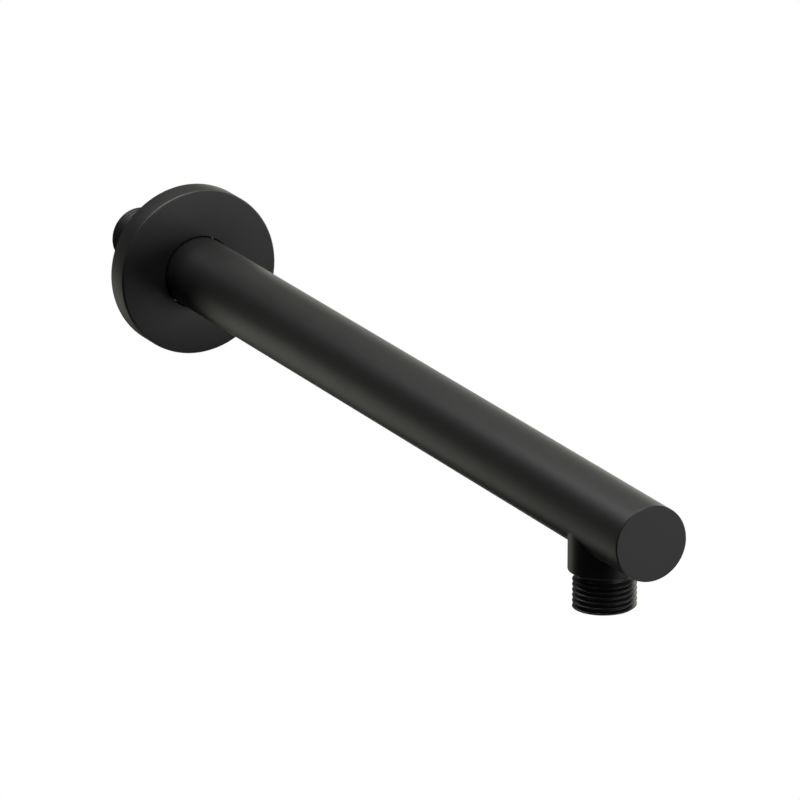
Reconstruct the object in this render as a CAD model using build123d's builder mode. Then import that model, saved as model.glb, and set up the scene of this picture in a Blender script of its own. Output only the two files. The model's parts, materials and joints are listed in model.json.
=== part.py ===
from build123d import *
import os

# Wall-mounted shower arm: a straight tube with a closed front end, a threaded outlet that points
# down, a threaded inlet for the wall fitting, and a loose cover flange gripped by a seal ring.
# Millimetres. The origin is on the arm's axis in the plane of the wall, where the flange's rim
# rests. +X runs out of the wall along the arm, and +Z is up.

# Arm tube
arm_reach = 341.0  # wall plane to the closed front end
tube_diameter = 25.4
tube_wall = 1.5
tube_tail = 20.0  # length of tube behind the wall plane
braze_gap = 0.05  # room for solder between brazed walls, on the radius

# Closed front end
cap_plate = 2.5
cap_spigot_length = 6.0
cap_edge = 0.45  # broken edge of the flat face

# Pipe thread on both nipples, drawn at its major diameter
thread_diameter = 20.955
thread_depth = 1.162
thread_relief_width = 2.0
thread_lead = 0.5  # chamfer at the mouth
nipple_wall = 1.8  # metal left under the thread's root
edge_break = 0.5

# Outlet nipple
outlet_setback = 31.0  # front end to the outlet's axis
outlet_drop = 30.4  # arm's axis to the outlet's mouth
boss_drop = 17.65  # arm's axis to the shoulder under the boss
boss_inset = 0.7  # the boss's side stands this far inside the tube's side
boss_edge = 0.3
spigot_wall = 2.0
spigot_proud = 0.5  # the spigot stands this far into the tube's bore

# Inlet nipple
inlet_shank_length = 10.0
inlet_collar = 2.0
inlet_thread_run = 18.6  # collar to the inlet's mouth

# Wall flange
flange_diameter = 59.4
flange_depth = 9.4
flange_edge = 0.5
flange_face_wall = 2.5
flange_rim_wall = 2.5
flange_bore_clearance = 0.3  # on the radius, round the tube
flange_bore_chamfer = 0.25
hub_setback = 1.0  # the hub stops short of the wall plane
hub_wall = 1.8  # metal left behind the seal groove

# Seal ring in the flange's bore
seal_section = 2.4  # square, with the sharp corners of a cut ring
seal_clearance = 0.05  # to the tube and to the groove's floor, on the radius
seal_groove_room = 0.7  # the groove is this much wider than the ring

# Sizes that follow from the ones above
tube_radius = tube_diameter / 2
bore_radius = tube_radius - tube_wall
tube_front = arm_reach - cap_plate
tube_length = tube_tail + tube_front
thread_radius = thread_diameter / 2
root_radius = thread_radius - thread_depth
waterway_radius = root_radius - nipple_wall
outlet_x = arm_reach - outlet_setback
boss_radius = tube_radius - boss_inset
spigot_radius = waterway_radius + spigot_wall
plug_radius = bore_radius - braze_gap
shank_end = inlet_shank_length - tube_tail
inlet_shoulder = -tube_tail - inlet_collar
flange_radius = flange_diameter / 2
flange_bore_radius = tube_radius + flange_bore_clearance
recess_floor = flange_depth - flange_face_wall
recess_radius = flange_radius - flange_rim_wall
seal_radius = tube_radius + seal_clearance + seal_section / 2
seal_x = (hub_setback + flange_depth) / 2
groove_radius = seal_radius + seal_section / 2 + seal_clearance
groove_width = seal_section + seal_groove_room
hub_radius = groove_radius + hub_wall

os.makedirs("parts", exist_ok=True)


def threaded_end(run):
    """Outline of a threaded end from its shoulder to its mouth, as (distance, radius) points."""
    return [
        (0, root_radius),
        (thread_relief_width, root_radius),
        (thread_relief_width + thread_depth, thread_radius),
        (run - thread_lead, thread_radius),
        (run, thread_radius - thread_lead),
        (run, waterway_radius + edge_break),
        (run - edge_break, waterway_radius),
    ]


# Tube: one straight length with a side hole for the outlet's spigot in its underside.
with BuildPart() as arm_tube:
    with BuildSketch(Plane.YZ.offset(-tube_tail)):
        Circle(tube_radius)
        Circle(bore_radius, mode=Mode.SUBTRACT)
    extrude(amount=tube_length)
    with BuildSketch(Plane.XY):
        with Locations((outlet_x, 0)):
            Circle(spigot_radius + braze_gap)
    extrude(amount=-tube_diameter, mode=Mode.SUBTRACT)

# End cap: a turned plug whose plate carries on the tube's outside and whose spigot fills its bore.
with BuildPart() as end_cap:
    with BuildSketch(Plane.YZ.offset(tube_front)):
        Circle(tube_radius)
    extrude(amount=cap_plate)
    chamfer(end_cap.edges().sort_by(Axis.X)[-1], cap_edge)
    with BuildSketch(Plane.YZ.offset(tube_front)):
        Circle(plug_radius)
    extrude(amount=-cap_spigot_length)
    chamfer(end_cap.edges().sort_by(Axis.X)[0], edge_break)

# Outlet nipple: a round boss coped to sit on the tube's underside. Its spigot fills the tube's
# side hole and is coped too, so that it follows the inside of the bore.
outlet_plane = Plane(origin=(outlet_x, 0, 0), x_dir=(1, 0, 0), z_dir=(0, -1, 0))
outlet_axis = Axis((outlet_x, 0, 0), (0, 0, 1))

with BuildPart() as outlet_nipple:
    with BuildSketch(Plane.XY.offset(-boss_drop)):
        with Locations((outlet_x, 0)):
            Circle(boss_radius)
    extrude(amount=boss_drop)
    chamfer(outlet_nipple.edges().sort_by(Axis.Z)[0], boss_edge)
    with BuildSketch(Plane.YZ.offset(outlet_x)):
        Circle(tube_radius + braze_gap)
    extrude(amount=tube_diameter, both=True, mode=Mode.SUBTRACT)

    with BuildSketch(Plane.XY.offset(-boss_drop)):
        with Locations((outlet_x, 0)):
            Circle(spigot_radius)
    extrude(amount=boss_drop)
    with BuildSketch(Plane.YZ.offset(outlet_x)):
        Circle(bore_radius - spigot_proud)
    extrude(amount=tube_diameter, both=True, mode=Mode.SUBTRACT)

    with BuildSketch(outlet_plane):
        with BuildLine():
            outline = [(r, -boss_drop - along) for along, r in threaded_end(outlet_drop - boss_drop)]
            Polyline(*outline, (waterway_radius, -boss_drop), close=True)
        make_face()
    revolve(axis=outlet_axis)
    with BuildSketch(Plane.XY):
        with Locations((outlet_x, 0)):
            Circle(waterway_radius)
    extrude(amount=-outlet_drop, mode=Mode.SUBTRACT)

# Inlet nipple: a shank in the tube's rear bore, a collar against the tube's end, and the thread.
with BuildPart() as inlet_nipple:
    with BuildSketch(Plane.XZ):
        with BuildLine():
            Polyline(
                (shank_end, waterway_radius),
                (shank_end, plug_radius - edge_break),
                (shank_end - edge_break, plug_radius),
                (-tube_tail, plug_radius),
                (-tube_tail, tube_radius),
                (inlet_shoulder, tube_radius),
                *[(inlet_shoulder - along, r) for along, r in threaded_end(inlet_thread_run)],
                close=True,
            )
        make_face()
    revolve(axis=Axis.X)
    collar_edge = inlet_nipple.edges().filter_by(GeomType.CIRCLE).group_by(SortBy.RADIUS)[-1]
    chamfer(collar_edge.sort_by(Axis.X)[0], edge_break)

# Wall flange: a turned cup, open to the wall, with a hub round the tube that holds the seal ring.
with BuildPart() as wall_flange:
    with BuildSketch(Plane.YZ):
        Circle(flange_radius)
        Circle(flange_bore_radius, mode=Mode.SUBTRACT)
    extrude(amount=flange_depth)
    with BuildSketch(Plane.YZ):
        Circle(hub_radius)
    extrude(amount=hub_setback, mode=Mode.SUBTRACT)
    bore_edges = wall_flange.edges().filter_by(GeomType.CIRCLE).group_by(SortBy.RADIUS)[0]
    chamfer(bore_edges, flange_bore_chamfer)
    with BuildSketch(Plane.YZ):
        Circle(recess_radius)
        Circle(hub_radius, mode=Mode.SUBTRACT)
    extrude(amount=recess_floor, mode=Mode.SUBTRACT)
    front_edge = wall_flange.edges().group_by(Axis.X)[-1].sort_by(SortBy.RADIUS)[-1]
    chamfer(front_edge, flange_edge)
    with BuildSketch(Plane.YZ.offset(seal_x - groove_width / 2)):
        Circle(groove_radius)
    extrude(amount=groove_width, mode=Mode.SUBTRACT)

# Seal ring: a square-cut rubber ring that grips the tube, so the flange stays where it is put.
with BuildPart() as flange_seal:
    with BuildSketch(Plane.XZ):
        with Locations((seal_x, seal_radius)):
            Rectangle(seal_section, seal_section)
    revolve(axis=Axis.X)

arm_tube.part.label = "arm_tube"
export_step(arm_tube.part, "parts/arm_tube.step")
end_cap.part.label = "end_cap"
export_step(end_cap.part, "parts/end_cap.step")
outlet_nipple.part.label = "outlet_nipple"
export_step(outlet_nipple.part, "parts/outlet_nipple.step")
inlet_nipple.part.label = "inlet_nipple"
export_step(inlet_nipple.part, "parts/inlet_nipple.step")
wall_flange.part.label = "wall_flange"
export_step(wall_flange.part, "parts/wall_flange.step")
flange_seal.part.label = "flange_seal"
export_step(flange_seal.part, "parts/flange_seal.step")
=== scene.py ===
import json
import math

import bmesh
import bpy
import numpy as np
from mathutils import Euler, Matrix, Vector


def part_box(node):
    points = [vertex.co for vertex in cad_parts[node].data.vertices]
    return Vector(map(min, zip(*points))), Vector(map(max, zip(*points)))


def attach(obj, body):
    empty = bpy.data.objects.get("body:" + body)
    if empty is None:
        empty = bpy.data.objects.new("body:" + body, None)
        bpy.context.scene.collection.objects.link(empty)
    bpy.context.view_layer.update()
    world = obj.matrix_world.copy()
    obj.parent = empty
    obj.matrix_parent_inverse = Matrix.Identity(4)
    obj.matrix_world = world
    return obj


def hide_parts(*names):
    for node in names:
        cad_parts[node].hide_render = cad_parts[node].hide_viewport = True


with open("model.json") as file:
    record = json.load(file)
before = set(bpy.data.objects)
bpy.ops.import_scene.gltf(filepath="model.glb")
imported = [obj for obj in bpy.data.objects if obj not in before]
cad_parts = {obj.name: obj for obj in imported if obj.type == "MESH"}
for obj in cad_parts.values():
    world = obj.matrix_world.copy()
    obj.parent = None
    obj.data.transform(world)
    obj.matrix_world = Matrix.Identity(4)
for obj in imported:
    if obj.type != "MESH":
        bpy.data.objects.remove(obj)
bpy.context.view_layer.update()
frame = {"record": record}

# Wall-mounted shower arm in matte black. Metres, in the frame of the solids: +X runs out of the
# wall along the arm, +Z is up, and the origin is on the arm's axis in the plane of the wall. The
# tube, its cap, the outlet and the inlet are brazed together, and the flange and its seal ring
# slide and turn on the tube.

mm = 0.001
inch = 25.4 * mm

# Sizes that the solids give
tube_low, tube_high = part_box("arm_tube")
cap_low, cap_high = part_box("end_cap")
outlet_low, outlet_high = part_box("outlet_nipple")
inlet_low, inlet_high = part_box("inlet_nipple")
flange_low, flange_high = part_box("wall_flange")
seal_low, seal_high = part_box("flange_seal")
mounts = {mount["name"]: mount for mount in frame["record"]["mounts"]}

tube_radius = max(tube_high.yz)  # the solid's round side is facets, with a corner on one of these axes
outlet_x = mounts["outlet_thread"]["pos_m"][0]
outlet_drop = -outlet_low.z  # arm's axis to the outlet's mouth
boss_radius = outlet_high.x - outlet_x
thread_radius = mounts["outlet_thread"]["dims"]["r_mm"] * mm
flange_radius = flange_high.z

# Tube and closed front end
tube_wall = 1.5 * mm
tube_mouth_round = 0.15 * mm
braze_gap = 0.05 * mm  # room for solder between brazed walls, on the radius
bore_radius = tube_radius - tube_wall
plug_radius = bore_radius - braze_gap
cap_edge = 0.3 * mm  # chamfer of the flat face
cap_edge_round = 0.1 * mm
cap_land = 0.3 * mm  # ring beside the chamfer, which keeps the face's shading flat

# Edges and corners of the other turned pieces
edge_break = 0.5 * mm
fine_round = 0.2 * mm

# Pipe thread: 55 degrees between its flanks, with crests and roots rounded in that form's proportions
turns_per_inch = 14
thread_pitch = inch / turns_per_inch
thread_depth = 0.640327 * thread_pitch
thread_round = 0.137329 * thread_pitch
flank_angle = math.radians(55)
flank_lean = flank_angle / 2
thread_relief = 2.0 * mm  # plain stretch beside the shoulder
thread_lead = 0.2 * mm  # chamfer at the mouth
thread_land = 0.1 * mm  # strip beside each end of the thread, which keeps the next face's shading flat
nipple_wall = 1.8 * mm  # metal left under the thread's root
root_radius = thread_radius - thread_depth
waterway_radius = root_radius - nipple_wall

# Outlet
outlet_thread_start = 0.58  # in turns about the outlet's axis
boss_drop = 17.65 * mm  # arm's axis to the shoulder under the boss
boss_edge = 0.3 * mm
coat_fillet = 0.3 * mm  # the coating rounds the corner between the boss and the tube
spigot_wall = 2.0 * mm
spigot_proud = 0.5 * mm  # the spigot stands this far into the tube's bore
spigot_radius = waterway_radius + spigot_wall
spigot_top = bore_radius - spigot_proud  # radius about the arm's axis that the spigot's end follows
hole_radius = spigot_radius + braze_gap  # in the tube's underside, for the spigot

# Inlet
inlet_thread_start = 0.9  # in turns about the arm's axis
inlet_collar = 2.0 * mm

# Flange and its seal ring
flange_edge = 0.7 * mm
flange_wall = 2.5 * mm
flange_bore_clearance = 0.3 * mm  # on the radius, round the tube
flange_bore_edge = 0.25 * mm
recess_round = 0.8 * mm
hub_setback = 1.0 * mm  # the hub stops short of the wall plane
hub_wall = 1.8 * mm  # metal left behind the seal's groove
seal_clearance = 0.05 * mm  # to the tube and to the groove's floor, on the radius
groove_room = 0.35 * mm  # at each side of the seal
flange_bore_radius = tube_radius + flange_bore_clearance
groove_radius = seal_high.z + seal_clearance
hub_radius = groove_radius + hub_wall

# Fineness of the meshes
around = 256  # columns about an axis
arc_steps = 6
thread_rows_per_turn = 20
hole_room = 15.0 * mm  # the tube has rows of points this far each side of the hole's axis
weld_distance = 0.0005 * mm
smooth_angle = math.radians(38)

# Matte black coating
coat_dark = (0.0052, 0.0052, 0.0052, 1)
coat_light = (0.0066, 0.0066, 0.0066, 1)
coat_cloud = 14 * mm
coat_grain = 0.22 * mm
coat_rise = 0.006 * mm
coat_roughness = 0.44
coat_cloud_roughness = 0.05
coat_grain_roughness = 0.06
overspray = 6 * mm  # the coating drifts this far into a mouth
overspray_start = 0.2 * overspray

# Bare steel of the waterway
steel_dark = (0.36, 0.35, 0.335, 1)
steel_light = (0.52, 0.51, 0.49, 1)
steel_roughness = 0.38
turning_roughness = 0.2
turning_grain = 0.12 * mm
turning_stretch = 0.1  # the marks change this much slower with the radius than along the axis
bare_margin = 0.02 * mm  # metal is bare up to this far outside the waterway's radius
coat_margin = 0.2 * mm  # and wholly coated from this far outside it

# Rubber of the seal ring
rubber_dark = (0.014, 0.014, 0.014, 1)
rubber_light = (0.026, 0.026, 0.026, 1)
rubber_cloud = 1.5 * mm
rubber_grain = 0.25 * mm
rubber_rise = 0.004 * mm
rubber_roughness = 0.65
rubber_cloud_roughness = 0.2

# Camera: the direction that it looks from, in degrees, and its place along its own axes
camera_azimuth = 63.067
camera_elevation = 17.836
camera_aside = 74.71 * mm
camera_above = -47.41 * mm
camera_distance = 2.9382
camera_lens = 375.89  # millimetres
camera_sensor = 36.0  # millimetres

# Studio
white = (1, 1, 1, 1)
studio_middle = Vector((cap_high.x / 2, 0, 0))
tent_radius = 1.9
cloth_black = (0.02, 0.02, 0.02, 1)
floor_level = -1.7
floor_radius = math.sqrt(tent_radius**2 - floor_level**2)
floor_pale = (0.8, 0.8, 0.8, 1)
floor_roughness = 0.9
floor_white = 0.9  # share of the floor's own white, the rest is lit
lamp_distance = 1.2
neutral = (1.0, 1.0, 1.0)
warm = (0.985, 1.0, 0.9)


# Shapes


def rounded(*corners):
    """Profile of (along, radius) points through (along, radius, rounding) corners, with each rounding
    drawn as an arc. The last corner is next to the first, and an open stretch is cut from between."""
    profile = []
    for index, (along, radius, rounding) in enumerate(corners):
        here = Vector((along, radius))
        if not rounding:
            profile.append(here)
            continue
        to_last = (Vector(corners[index - 1][:2]) - here).normalized()
        to_next = (Vector(corners[(index + 1) % len(corners)][:2]) - here).normalized()
        half_angle = to_last.angle(to_next) / 2
        reach = rounding / math.tan(half_angle)
        centre = here + (to_last + to_next).normalized() * rounding / math.sin(half_angle)
        start = (here + to_last * reach - centre).normalized()
        end = (here + to_next * reach - centre).normalized()
        for step in range(arc_steps + 1):
            profile.append(centre + start.slerp(end, step / arc_steps) * rounding)
    return np.array(profile)


def joined(*stretches):
    """One profile from stretches that are the same all round or have points for each column."""
    columns = [np.broadcast_to(stretch, (around, *stretch.shape[-2:])) for stretch in stretches]
    return np.concatenate(columns, axis=1)


def thread_height(turns):
    """Height of the thread above its root, at a place counted in turns from a crest."""
    offset = np.abs((turns + 0.5) % 1 - 0.5) * thread_pitch
    round_reach = thread_round * math.cos(flank_lean)
    crest = thread_depth - thread_round + np.sqrt(np.maximum(thread_round**2 - offset**2, 0))
    from_root = thread_pitch / 2 - offset
    root = thread_round - np.sqrt(np.maximum(thread_round**2 - from_root**2, 0))
    flank = thread_depth / 2 + (thread_pitch / 4 - offset) / math.tan(flank_lean)
    return np.where(offset < round_reach, crest, np.where(from_root < round_reach, root, flank))


def threaded_end(shoulder, mouth, start):
    """Profile of an end with a right-hand thread: from the relief beside its shoulder to its mouth, and
    back along its waterway to the shoulder. Start turns the thread about its axis, in turns."""
    turn = np.linspace(0, 1, around, endpoint=False)[:, None]
    relief_end = shoulder + thread_relief
    lead_start = mouth - thread_lead
    steps = math.ceil((mouth - relief_end) / thread_pitch * thread_rows_per_turn)
    along = np.linspace(relief_end, mouth, steps + 1)
    along = np.sort(np.append(along, (relief_end - thread_land, lead_start)))
    height = thread_height((along - shoulder) / thread_pitch - turn - start)
    rise = np.maximum(along - relief_end, 0)
    fall = np.maximum(along - lead_start, 0)
    radius = np.minimum(root_radius + np.minimum(height, rise), thread_radius - fall)
    along = np.append(along, mouth)
    radius = np.append(radius, radius[:, -1:] - thread_land, axis=1)
    thread = np.stack([np.broadcast_to(along, radius.shape), radius], axis=2)
    waterway = rounded(
        (mouth, root_radius, 0),
        (mouth, waterway_radius, edge_break),
        (shoulder, waterway_radius, 0),
    )
    return joined(thread, waterway[1:])


def turned(name, profile, foot=(0, 0, 0), axis=(1, 0, 0), start=(0, 1, 0)):
    """Closed mesh piece: a profile of (along, radius) points turned about an axis through a foot. A
    profile that changes on its way round has points for each column, the first towards start."""
    angle = np.linspace(0, 2 * math.pi, around, endpoint=False)[:, None, None]
    outwards = np.cos(angle) * start + np.sin(angle) * np.cross(axis, start)
    points = foot + profile[..., :1] * axis + profile[..., 1:] * outwards
    rows = points.shape[1]
    index = np.arange(around * rows).reshape(around, rows)
    across = np.roll(index, -1, axis=0)
    faces = np.stack(
        [index, across, np.roll(across, -1, axis=1), np.roll(index, -1, axis=1)], axis=2
    )
    mesh = bpy.data.meshes.new(name)
    mesh.from_pydata(points.reshape(-1, 3).tolist(), [], faces.reshape(-1, 4).tolist())
    clean(mesh)
    piece = bpy.data.objects.new(name, mesh)
    bpy.context.scene.collection.objects.link(piece)
    return piece


def clean(mesh):
    """Welds points that meet, turns every face outwards and shades all but true edges smoothly."""
    work = bmesh.new()
    work.from_mesh(mesh)
    bmesh.ops.remove_doubles(work, verts=work.verts, dist=weld_distance)
    bmesh.ops.recalc_face_normals(work, faces=work.faces)
    work.to_mesh(mesh)
    work.free()
    mesh.shade_smooth()
    mesh.set_sharp_from_angle(angle=smooth_angle)


def settle(piece, body, node, material):
    """Puts a finished piece in a node's place, on its body, with its finish."""
    piece.data.materials.append(material)
    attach(piece, body)
    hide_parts(node)


# Finishes


class Wire:
    """A socket in a material's node tree. Arithmetic on number sockets adds Math nodes."""

    def __init__(self, tree, socket=None):
        self.tree = tree
        self.socket = socket

    def feed(self, socket):
        """Links this wire to an input of a node."""
        self.tree.links.new(self.socket, socket)

    def node(self, kind, settings=None, sockets=None, output=0):
        """Adds a node with its settings, then the values or links of its sockets."""
        made = self.tree.nodes.new(kind)
        for key, value in (settings or {}).items():
            setattr(made, key, value)
        for key, value in (sockets or {}).items():
            if isinstance(value, Wire):
                value.feed(made.inputs[key])
            else:
                made.inputs[key].default_value = value
        return Wire(self.tree, made.outputs[output])

    def maths(self, operation, *values):
        """Adds a Math node on numbers."""
        return self.node("ShaderNodeMath", {"operation": operation}, dict(enumerate(values)))

    def vectors(self, operation, *values, output="Vector"):
        """Adds a Vector Math node, whose output is a vector or a value."""
        settings = {"operation": operation}
        return self.node("ShaderNodeVectorMath", settings, dict(enumerate(values)), output)

    def __add__(self, other):
        return self.maths("ADD", self, other)

    __radd__ = __add__

    def __sub__(self, other):
        return self.maths("SUBTRACT", self, other)

    def __rsub__(self, other):
        return self.maths("SUBTRACT", other, self)

    def __mul__(self, other):
        return self.maths("MULTIPLY", self, other)

    __rmul__ = __mul__

    def __pow__(self, power):
        return self.maths("POWER", self, power)

    def either(self, other):
        """The larger of two values, which is 1 where one of two masks is."""
        return self.maths("MAXIMUM", self, other)

    def swing(self, reach):
        """A noise from 0 to 1, made to swing evenly about 0 over a reach."""
        return (self - 0.5) * reach

    def ramp(self, low, high):
        """0 at low and 1 at high, with a smooth step between."""
        return self.node(
            "ShaderNodeMapRange",
            {"interpolation_type": "SMOOTHSTEP"},
            {"Value": self, "From Min": low, "From Max": high},
        )


def new_finish(name):
    """A new material, the inputs of its shader, and the wire of the places on the piece."""
    material = bpy.data.materials.new(name)
    material.use_nodes = True
    shader = material.node_tree.nodes["Principled BSDF"]
    place = Wire(material.node_tree).node("ShaderNodeTexCoord", output="Object")
    return material, shader.inputs, place


def noise(place, grain, detail=2.0):
    """Noise from 0 to 1 whose lumps are about one grain across."""
    return place.node(
        "ShaderNodeTexNoise", {}, {"Vector": place, "Scale": 1 / grain, "Detail": detail}
    )


def blend(factor, first, second):
    """Colour that goes from first to second with the factor. A Mix node keeps its colours in inputs 6
    and 7 and in output 2."""
    settings = {"data_type": "RGBA"}
    return factor.node("ShaderNodeMix", settings, {0: factor, 6: first, 7: second}, output=2)


def mixed(factor, first, second):
    """Shader that goes from first to second with the factor."""
    return factor.node("ShaderNodeMixShader", {}, {0: factor, 1: first, 2: second})


def dress(shader, colour, roughness, height, rise):
    """Feeds a shader with a colour, a roughness and a height from 0 to 1, where 1 is a rise in metres."""
    colour.feed(shader["Base Color"])
    roughness.feed(shader["Roughness"])
    bumps = height.node("ShaderNodeBump", {}, {"Height": height, "Distance": rise})
    bumps.feed(shader["Normal"])


def coating(place):
    """Clouds, colour, roughness and height of the matte black coating."""
    clouds = noise(place, coat_cloud)
    speckle = noise(place, coat_grain, detail=3.0)
    colour = blend(clouds, coat_dark, coat_light)
    unevenness = clouds.swing(coat_cloud_roughness) + speckle.swing(coat_grain_roughness)
    return clouds, colour, coat_roughness + unevenness, speckle


def turned_steel(along, radius):
    """Colour, roughness and height of bare steel, with the fine marks of its turning."""
    section = along.node("ShaderNodeCombineXYZ", {}, {"X": along, "Y": radius * turning_stretch})
    marks = noise(section, turning_grain)
    colour = blend(marks, steel_dark, steel_light)
    return colour, steel_roughness + marks.swing(turning_roughness), marks


def coated_all_over(name):
    """Matte black coating on a piece that no water runs through."""
    material, shader, place = new_finish(name)
    _, colour, roughness, height = coating(place)
    dress(shader, colour, roughness, height, coat_rise)
    return material


def coated_outside(name, bare_radius, foot=(0, 0, 0), axis=(1, 0, 0), mouth=None):
    """Matte black coating on a piece whose waterway is bare steel. The coating drifts into a mouth, which
    is given by its distance along the axis."""
    material, shader, place = new_finish(name)
    from_foot = place.vectors("SUBTRACT", place, foot)
    along = place.vectors("DOT_PRODUCT", from_foot, axis, output="Value")
    reach = place.vectors("LENGTH", from_foot, output="Value")
    radius = (reach * reach - along * along) ** 0.5

    clouds, coat_colour, coat_rough, coat_height = coating(place)
    steel_colour, steel_rough, steel_height = turned_steel(along, radius)
    bare = 1 - radius.ramp(bare_radius + bare_margin, bare_radius + coat_margin)
    if mouth is not None:
        depth = mouth - along + clouds.swing(overspray)
        bare = bare * depth.ramp(overspray_start, overspray)

    colour = blend(bare, coat_colour, steel_colour)
    roughness = coat_rough * (1 - bare) + steel_rough * bare
    height = coat_height * (1 - bare) + steel_height * bare
    dress(shader, colour, roughness, height, coat_rise)
    bare.feed(shader["Metallic"])
    return material


def seal_rubber(name):
    """Black rubber with the faint cloud of its mould."""
    material, shader, place = new_finish(name)
    clouds = noise(place, rubber_cloud, detail=4.0)
    colour = blend(clouds, rubber_dark, rubber_light)
    roughness = rubber_roughness + clouds.swing(rubber_cloud_roughness)
    dress(shader, colour, roughness, noise(place, rubber_grain), rubber_rise)
    return material


# Pieces


def make_tube(material):
    """The arm's tube, with a side hole in its underside for the outlet's spigot."""
    near, far = outlet_x - hole_room, outlet_x + hole_room
    profile = rounded(
        (tube_low.x, bore_radius, tube_mouth_round),
        (tube_low.x, tube_radius, tube_mouth_round),
        (near, tube_radius, 0),
        (far, tube_radius, 0),
        (tube_high.x, tube_radius, 0),
        (tube_high.x, bore_radius, 0),
        (far, bore_radius, 0),
        (near, bore_radius, 0),
    )
    tube = turned("tube", profile)
    drill_side_hole(tube)
    clean(tube.data)
    settle(tube, "arm", "arm_tube", material)


def drill_side_hole(tube):
    """Cuts the hole for the outlet's spigot from the tube's axis down."""
    mesh = bpy.data.meshes.new("hole_drill")
    drill = bpy.data.objects.new("hole_drill", mesh)
    bpy.context.scene.collection.objects.link(drill)
    work = bmesh.new()
    bmesh.ops.create_cone(
        work,
        cap_ends=True,
        segments=around // 2,
        radius1=hole_radius,
        radius2=hole_radius,
        depth=2 * tube_radius,
        matrix=Matrix.Translation((outlet_x, 0, -tube_radius)),
    )
    work.to_mesh(mesh)
    work.free()
    cut = tube.modifiers.new("side_hole", "BOOLEAN")
    cut.operation = "DIFFERENCE"
    cut.solver = "EXACT"
    cut.object = drill
    drilled = tube.evaluated_get(bpy.context.evaluated_depsgraph_get())
    whole = tube.data
    tube.data = bpy.data.meshes.new_from_object(drilled)
    tube.modifiers.clear()
    bpy.data.objects.remove(drill)
    bpy.data.meshes.remove(mesh)
    bpy.data.meshes.remove(whole)


def make_cap(material):
    """The turned plug that closes the front end, with a flat face and a softened edge."""
    profile = rounded(
        (cap_low.x, 0, 0),
        (cap_low.x, plug_radius, edge_break),
        (tube_high.x, plug_radius, 0),
        (tube_high.x, tube_radius, 0),
        (cap_high.x - cap_edge, tube_radius, cap_edge_round),
        (cap_high.x, tube_radius - cap_edge, cap_edge_round),
        (cap_high.x, tube_radius - cap_edge - cap_land, 0),
        (cap_high.x, 0, 0),
    )
    settle(turned("front_cap", profile), "arm", "end_cap", material)


def make_outlet(material):
    """The outlet: a boss coped to the tube, with a spigot in the tube's hole and a thread below. Its
    profile runs down from the arm's axis."""
    turn = np.linspace(0, 2 * math.pi, around, endpoint=False)[:, None]

    def coped(cylinder, *radii):
        """Profile of circles about the outlet's axis that are laid on a cylinder about the arm's axis."""
        radius = np.broadcast_to(radii, (around, len(radii)))
        drop = np.sqrt(cylinder**2 - (radius * np.sin(turn)) ** 2)
        return np.stack([drop, radius], axis=2)

    corner = coped(tube_radius, boss_radius)
    on_tube = coped(tube_radius, boss_radius + coat_fillet)
    on_boss = corner + (coat_fillet, 0)
    bend = np.linspace(0, 1, arc_steps + 1)[:, None]
    fillet = (1 - bend) ** 2 * on_tube + 2 * bend * (1 - bend) * corner + bend**2 * on_boss
    shoulder = rounded(
        (0, boss_radius, 0),
        (boss_drop, boss_radius, boss_edge),
        (boss_drop, root_radius, fine_round),
        (outlet_drop, root_radius, 0),
    )
    saddle_radii = np.linspace(spigot_radius, boss_radius, arc_steps)
    profile = joined(
        fillet,
        shoulder[1:-1],
        threaded_end(boss_drop, outlet_drop, outlet_thread_start),
        coped(spigot_top, waterway_radius, spigot_radius),
        coped(tube_radius, *saddle_radii),
    )
    outlet = turned("outlet", profile, foot=(outlet_x, 0, 0), axis=(0, 0, -1), start=(1, 0, 0))
    settle(outlet, "arm", "outlet_nipple", material)


def make_inlet(material):
    """The inlet: a shank in the tube's rear bore, a collar against the tube's end, and a thread. Its
    profile runs back from the plane of the wall."""
    shank_face = -inlet_high.x
    tube_end = -tube_low.x
    collar_face = tube_end + inlet_collar
    mouth = -inlet_low.x
    shank = rounded(
        (collar_face, waterway_radius, 0),
        (shank_face, waterway_radius, edge_break),
        (shank_face, plug_radius, edge_break),
        (tube_end, plug_radius, 0),
        (tube_end, tube_radius, fine_round),
        (collar_face, tube_radius, edge_break),
        (collar_face, root_radius, fine_round),
        (mouth, root_radius, 0),
    )
    profile = joined(shank[1:-1], threaded_end(collar_face, mouth, inlet_thread_start))
    inlet = turned("inlet", profile, axis=(-1, 0, 0), start=(0, -1, 0))
    settle(inlet, "arm", "inlet_nipple", material)


def make_flange(material):
    """The cover flange: a turned cup, open to the wall, with a hub that holds the seal ring."""
    hub_back = flange_low.x + hub_setback
    recess_floor = flange_high.x - flange_wall
    recess_radius = flange_radius - flange_wall
    groove_low = seal_low.x - groove_room
    groove_high = seal_high.x + groove_room
    profile = rounded(
        (flange_high.x, flange_bore_radius, flange_bore_edge),
        (flange_high.x, flange_radius, flange_edge),
        (flange_low.x, flange_radius, fine_round),
        (flange_low.x, recess_radius, fine_round),
        (recess_floor, recess_radius, recess_round),
        (recess_floor, hub_radius, recess_round),
        (hub_back, hub_radius, fine_round),
        (hub_back, flange_bore_radius, flange_bore_edge),
        (groove_low, flange_bore_radius, 0),
        (groove_low, groove_radius, fine_round),
        (groove_high, groove_radius, fine_round),
        (groove_high, flange_bore_radius, 0),
    )
    settle(turned("flange", profile), "flange", "wall_flange", material)


def make_seal(material):
    """The square-cut rubber ring in the flange's groove."""
    seal_inner = tube_radius + seal_clearance
    profile = rounded(
        (seal_low.x, seal_inner, fine_round),
        (seal_high.x, seal_inner, fine_round),
        (seal_high.x, seal_high.z, fine_round),
        (seal_low.x, seal_high.z, fine_round),
    )
    settle(turned("seal_ring", profile), "seal", "flange_seal", material)


# Camera, stage and light


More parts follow.
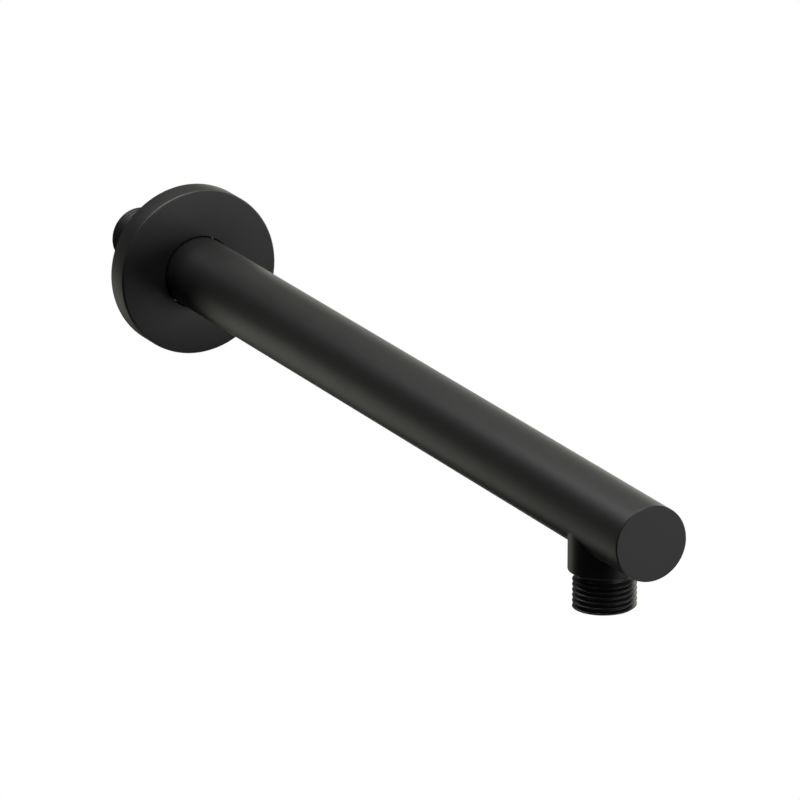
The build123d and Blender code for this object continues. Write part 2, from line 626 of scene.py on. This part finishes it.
def aimed(azimuth, elevation):
    """Rotation of a camera or lamp that looks at the arm from an azimuth and elevation in degrees."""
    return Euler((math.radians(90 - elevation), 0, math.radians(azimuth)))


def place_camera():
    """The camera, which stands where the photo was taken from."""
    rotation = aimed(camera_azimuth, camera_elevation)
    lens = bpy.data.cameras.new("photo_camera")
    lens.sensor_width = camera_sensor
    lens.lens = camera_lens
    camera = bpy.data.objects.new("photo_camera", lens)
    camera.rotation_euler = rotation
    camera.location = rotation.to_matrix() @ Vector((camera_aside, camera_above, camera_distance))
    bpy.context.scene.collection.objects.link(camera)
    bpy.context.scene.camera = camera


def stage_piece(name, work, place):
    """Puts a finished bmesh on the stage, as something that isn't part of the arm."""
    mesh = bpy.data.meshes.new(name)
    work.to_mesh(mesh)
    work.free()
    piece = bpy.data.objects.new(name, mesh)
    piece.location = place
    bpy.context.scene.collection.objects.link(piece)
    material = bpy.data.materials.new(name)
    material.use_nodes = True
    mesh.materials.append(material)
    return piece, material.node_tree


def lay_floor():
    """Round pale floor, well below the arm because a wall holds it. It looks white from above, still
    takes the arm's shadow, and is see-through from below."""
    work = bmesh.new()
    bmesh.ops.create_circle(work, cap_ends=True, segments=around // 2, radius=floor_radius)
    _, tree = stage_piece("pale_floor", work, studio_middle + Vector((0, 0, floor_level)))
    pale = tree.nodes["Principled BSDF"]
    pale.inputs["Base Color"].default_value = floor_pale
    pale.inputs["Roughness"].default_value = floor_roughness
    start = Wire(tree)
    seen = start.node("ShaderNodeLightPath", output="Is Camera Ray")
    mirrored = start.node("ShaderNodeLightPath", output="Is Glossy Ray")
    seen_through = start.node("ShaderNodeLightPath", output="Is Transmission Ray")
    own_white = start.node("ShaderNodeEmission", {}, {"Color": white, "Strength": 1.0})
    share = seen.either(mirrored).either(seen_through) * floor_white
    top = mixed(share, Wire(tree, pale.outputs["BSDF"]), own_white)
    under = start.node("ShaderNodeNewGeometry", output="Backfacing")
    clear = start.node("ShaderNodeBsdfTransparent")
    mixed(under, top, clear).feed(tree.nodes["Material Output"].inputs["Surface"])


def hang_tent():
    """Black cloth round the arm, out of the camera's sight. It keeps the white beyond off the coating."""
    work = bmesh.new()
    bmesh.ops.create_uvsphere(
        work, u_segments=around // 4, v_segments=around // 8, radius=tent_radius
    )
    below = [face for face in work.faces if face.calc_center_median().z < floor_level]
    bmesh.ops.delete(work, geom=below, context="FACES")
    tent, tree = stage_piece("black_tent", work, studio_middle)
    tent.visible_camera = False
    cloth = tree.nodes["Principled BSDF"].inputs
    cloth["Base Color"].default_value = cloth_black
    cloth["Roughness"].default_value = 1.0
    cloth["Specular IOR Level"].default_value = 0.0


def light_world():
    """White beyond the stage, which the camera sees as the ground of the picture."""
    world = bpy.data.worlds.new("white_ground")
    world.use_nodes = True
    bpy.context.scene.world = world
    background = world.node_tree.nodes["Background"].inputs
    background["Color"].default_value = white
    background["Strength"].default_value = 1.0


def softbox(name, azimuth, elevation, size, radiance, tint=neutral):
    """Soft lamp that faces the arm from a direction in degrees. Its size is in metres."""
    width, height = size
    rotation = aimed(azimuth, elevation)
    lamp = bpy.data.lights.new(name, "AREA")
    lamp.shape = "RECTANGLE"
    lamp.size = width
    lamp.size_y = height
    lamp.energy = radiance * math.pi * width * height
    lamp.color = tint
    box = bpy.data.objects.new(name, lamp)
    box.rotation_euler = rotation
    box.location = studio_middle + rotation.to_matrix() @ Vector((0, 0, lamp_distance))
    box.visible_camera = False
    bpy.context.scene.collection.objects.link(box)


# The arm

make_tube(coated_outside("coated_tube", bore_radius))
make_cap(coated_all_over("coated_cap"))
make_outlet(
    coated_outside(
        "coated_outlet", waterway_radius, foot=(outlet_x, 0, 0), axis=(0, 0, -1), mouth=outlet_drop
    )
)
make_inlet(coated_outside("coated_inlet", waterway_radius, axis=(-1, 0, 0), mouth=-inlet_low.x))
make_flange(coated_all_over("coated_flange"))
make_seal(seal_rubber("black_rubber"))

# The studio

place_camera()
light_world()
lay_floor()
hang_tent()
softbox("overhead_softbox", azimuth=0, elevation=88, size=(0.80, 0.80), radiance=8.8)
softbox("high_front_softbox", azimuth=103, elevation=45, size=(0.38, 0.38), radiance=5.0)
softbox("high_left_softbox", azimuth=-56, elevation=50, size=(0.43, 0.41), radiance=6.6)
softbox("high_right_softbox", azimuth=-156, elevation=42, size=(0.50, 0.50), radiance=4.0, tint=warm)
softbox("high_back_softbox", azimuth=-136, elevation=42, size=(1.80, 1.03), radiance=0.36, tint=warm)
softbox("edge_softbox", azimuth=90, elevation=30, size=(0.40, 0.40), radiance=3.4)
softbox("front_softbox", azimuth=116, elevation=-3, size=(0.38, 0.70), radiance=2.9)
softbox("right_softbox", azimuth=150, elevation=5, size=(0.50, 0.50), radiance=4.4)
softbox("far_right_softbox", azimuth=-146, elevation=12, size=(0.50, 0.50), radiance=2.4, tint=warm)
softbox("left_softbox", azimuth=10, elevation=20, size=(0.50, 0.50), radiance=0.8)
softbox("low_side_softbox", azimuth=-170, elevation=-18, size=(0.40, 0.40), radiance=3.0, tint=warm)
softbox("back_softbox", azimuth=-88, elevation=-12, size=(1.80, 0.91), radiance=0.17, tint=warm)
softbox("low_back_softbox", azimuth=-72, elevation=-22, size=(0.60, 0.53), radiance=0.57, tint=warm)
softbox("low_right_softbox", azimuth=-139, elevation=-17, size=(1.27, 1.20), radiance=0.92, tint=warm)
bpy.context.scene.view_settings.view_transform = "Standard"
